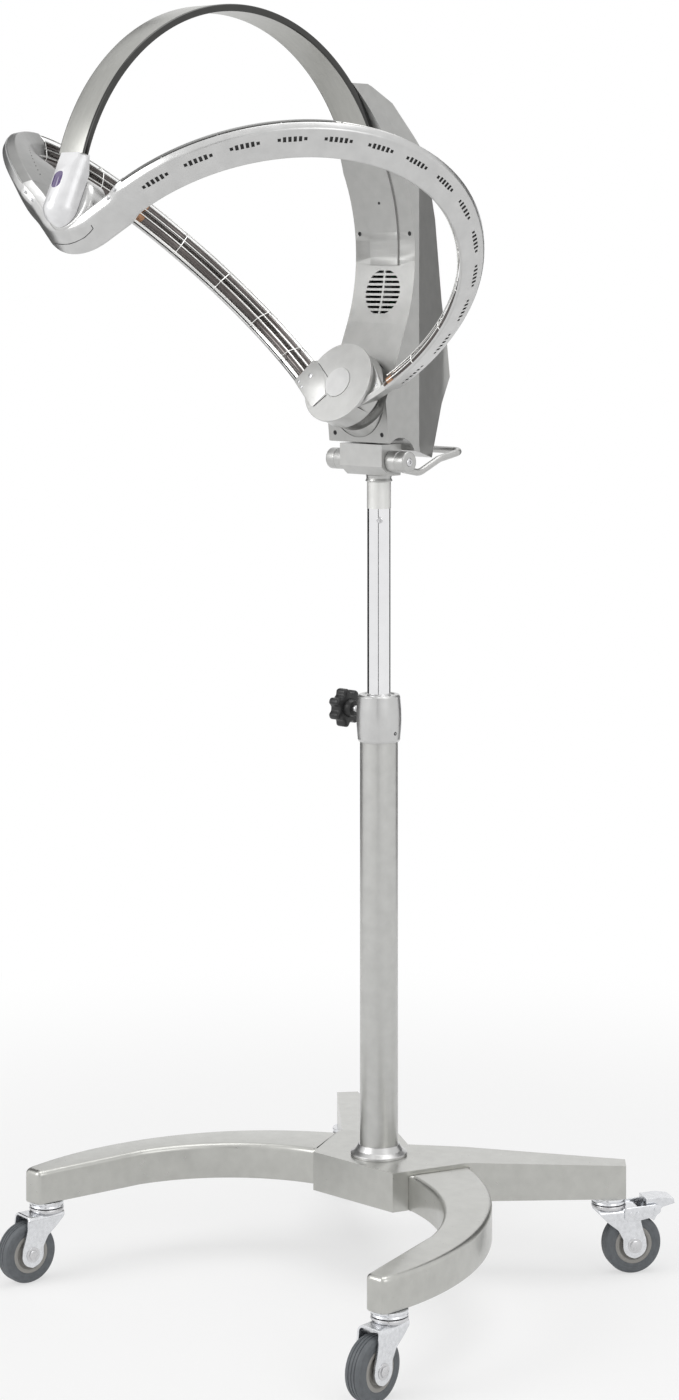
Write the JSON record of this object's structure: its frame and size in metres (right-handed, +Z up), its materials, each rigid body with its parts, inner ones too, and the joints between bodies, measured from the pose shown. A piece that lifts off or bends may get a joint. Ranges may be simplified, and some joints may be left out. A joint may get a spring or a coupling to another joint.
{
  "type": "hair color processor",
  "caption": "Wheeled salon hair processor: a slanting ring of two heated arms turns between a raised arch and a tilting body on a height-set column.",
  "frame": {"origin": "on the floor under the column's axis", "axes": "+Z up, -Y towards the client in front, +X to the right seen from the front"},
  "size_m": [0.6298, 0.8284, 1.5952],
  "materials": {
    "cast_grey": "satin light grey paint on castings",
    "column_paint": "satin mid grey",
    "collar_silver": "bright silver",
    "black_plastic": "matte black",
    "steel_small": "plated",
    "mast_chrome": "polished",
    "band_silver": "bright satin",
    "joint_silver": "satin silver",
    "handle_silver": "satin silver",
    "cover_silver": "metallic silver paint",
    "cover_dark": "metallic grey paint",
    "arch_silver": "satin face with dark polished edges",
    "cap_white": "gloss light silver",
    "window_violet": "violet tinted window",
    "button_grey": "matte",
    "ring_silver": "metallic silver paint",
    "reflector": "mirror-bright sheet",
    "lamp_glass": "dark quartz",
    "ceramic": "glazed end with a coppery cap",
    "guard_wire": "bright wire",
    "zinc": "zinc plated",
    "wheel_grey": "warm grey",
    "tyre_grey": "blue grey rubber",
    "motor_case": "satin",
    "board_green": "solder mask"
  },
  "bodies": {
    "stand": {"base_hub": "cast_grey", "left_front_leg": "cast_grey", "right_front_leg": "cast_grey", "column_foot_ring": "cast_grey", "column_tube": "column_paint", "clamp_collar": "collar_silver", "collar_set_screw": "steel_small", "caster_races": "zinc"},
    "clamp": {"clamp_knob": "black_plastic", "clamp_stud": "steel_small"},
    "mast": {"mast_tube": "mast_chrome", "mast_bush": "black_plastic", "mast_band": "band_silver", "mast_stop_screw": "steel_small"},
    "neck": {"mast_flange": "joint_silver", "tilt_block": "joint_silver", "tilt_shaft": "steel_small"},
    "head": {"tilt_barrels": "joint_silver", "barrel_screws": "steel_small", "push_handle": "handle_silver", "body_front_cover": "cover_silver", "body_rear_cover": "cover_dark", "body_centre_panel": "cover_silver", "cover_screws": "steel_small", "fan_frame": "black_plastic", "ring_motor": "motor_case", "control_board": "board_green", "cable_gland": "black_plastic", "pivot_bowl": "cover_silver", "arch_band": "arch_silver", "arch_end_cap": "cap_white", "sensor_window": "window_violet", "front_pivot_pin": "steel_small"},
    "fan": {"fan_rotor": "black_plastic"},
    "button": {"arch_button": "button_grey"},
    "ring": {"pivot_drum": "ring_silver", "pivot_disc_cap": "ring_silver", "left_arm_shell": "ring_silver", "right_arm_shell": "ring_silver", "ring_reflectors": "reflector", "ring_lamps": "lamp_glass", "ring_guards": "guard_wire", "lamp_sockets": "ceramic", "ring_front_hub": "ring_silver"},
    "front_left_fork": {"front_left_fork": "zinc"},
    "front_left_wheel": {"front_left_wheel": "wheel_grey", "front_left_tyre": "tyre_grey"},
    "front_right_fork": {"front_right_fork": "zinc"},
    "front_right_wheel": {"front_right_wheel": "wheel_grey", "front_right_tyre": "tyre_grey"},
    "rear_left_fork": {"rear_left_fork": "zinc"},
    "rear_left_wheel": {"rear_left_wheel": "wheel_grey", "rear_left_tyre": "tyre_grey"},
    "rear_left_brake": {"rear_left_brake": "zinc"},
    "rear_right_fork": {"rear_right_fork": "zinc"},
    "rear_right_wheel": {"rear_right_wheel": "wheel_grey", "rear_right_tyre": "tyre_grey"},
    "rear_right_brake": {"rear_right_brake": "zinc"}
  },
  "joints": [
    {"name": "clamp_turn", "type": "hinge", "parent": "stand", "child": "clamp", "pos_m": [-0.05, 0, 0.711], "axis": [-1, 0, 0], "range_deg": [0, 360]},
    {"name": "mast_height", "type": "slide", "parent": "stand", "child": "mast", "axis": [0, 0, 1], "range_m": [-0.215, 0.12]},
    {"name": "head_swivel", "type": "hinge", "parent": "mast", "child": "neck", "pos_m": [0, 0, 1.005], "axis": [0, 0, 1], "range_deg": [-170, 170]},
    {"name": "head_tilt", "type": "hinge", "parent": "neck", "child": "head", "pos_m": [0, -0.016, 1.033], "axis": [1, 0, 0], "range_deg": [-15, 20]},
    {"name": "fan_spin", "type": "hinge", "parent": "head", "child": "fan", "pos_m": [0, 0.02, 1.2467], "axis": [0, -1, 0], "continuous": true},
    {"name": "button_press", "type": "slide", "parent": "head", "child": "button", "axis": [0, -0.9272, 0.3746], "range_m": [0, 0.001], "stiffness_N_per_m": 400},
    {"name": "ring_rotation", "type": "hinge", "parent": "head", "child": "ring", "pos_m": [0, -0.078, 1.134], "axis": [0, -0.91, 0.4147], "range_deg": [-16, 16]},
    {"name": "front_left_swivel", "type": "hinge", "parent": "stand", "child": "front_left_fork", "pos_m": [-0.291, -0.306, 0.085], "axis": [0, 0, 1], "continuous": true},
    {"name": "front_left_roll", "type": "hinge", "parent": "front_left_fork", "child": "front_left_wheel", "pos_m": [-0.29621, -0.33554, 0.0375], "axis": [0.9848, -0.1736, 0], "continuous": true},
    {"name": "front_right_swivel", "type": "hinge", "parent": "stand", "child": "front_right_fork", "pos_m": [0.291, -0.306, 0.085], "axis": [0, 0, 1], "continuous": true},
    {"name": "front_right_roll", "type": "hinge", "parent": "front_right_fork", "child": "front_right_wheel", "pos_m": [0.29205, -0.33598, 0.0375], "axis": [0.9994, 0.0349, 0], "continuous": true},
    {"name": "rear_left_swivel", "type": "hinge", "parent": "stand", "child": "rear_left_fork", "pos_m": [-0.224, 0.187, 0.085], "axis": [0, 0, 1], "continuous": true},
    {"name": "rear_left_roll", "type": "hinge", "parent": "rear_left_fork", "child": "rear_left_wheel", "pos_m": [-0.24078, 0.21187, 0.0375], "axis": [-0.829, -0.5592, 0], "continuous": true},
    {"name": "rear_left_brake_press", "type": "hinge", "parent": "rear_left_fork", "child": "rear_left_brake", "pos_m": [-0.25643, 0.23508, 0.082], "axis": [-0.829, -0.5592, 0], "range_deg": [0, 12]},
    {"name": "rear_right_swivel", "type": "hinge", "parent": "stand", "child": "rear_right_fork", "pos_m": [0.224, 0.187, 0.085], "axis": [0, 0, 1], "continuous": true},
    {"name": "rear_right_roll", "type": "hinge", "parent": "rear_right_fork", "child": "rear_right_wheel", "pos_m": [0.24078, 0.21187, 0.0375], "axis": [-0.829, 0.5592, 0], "continuous": true},
    {"name": "rear_right_brake_press", "type": "hinge", "parent": "rear_right_fork", "child": "rear_right_brake", "pos_m": [0.25643, 0.23508, 0.082], "axis": [-0.829, 0.5592, 0], "range_deg": [0, 12]}
  ]
}
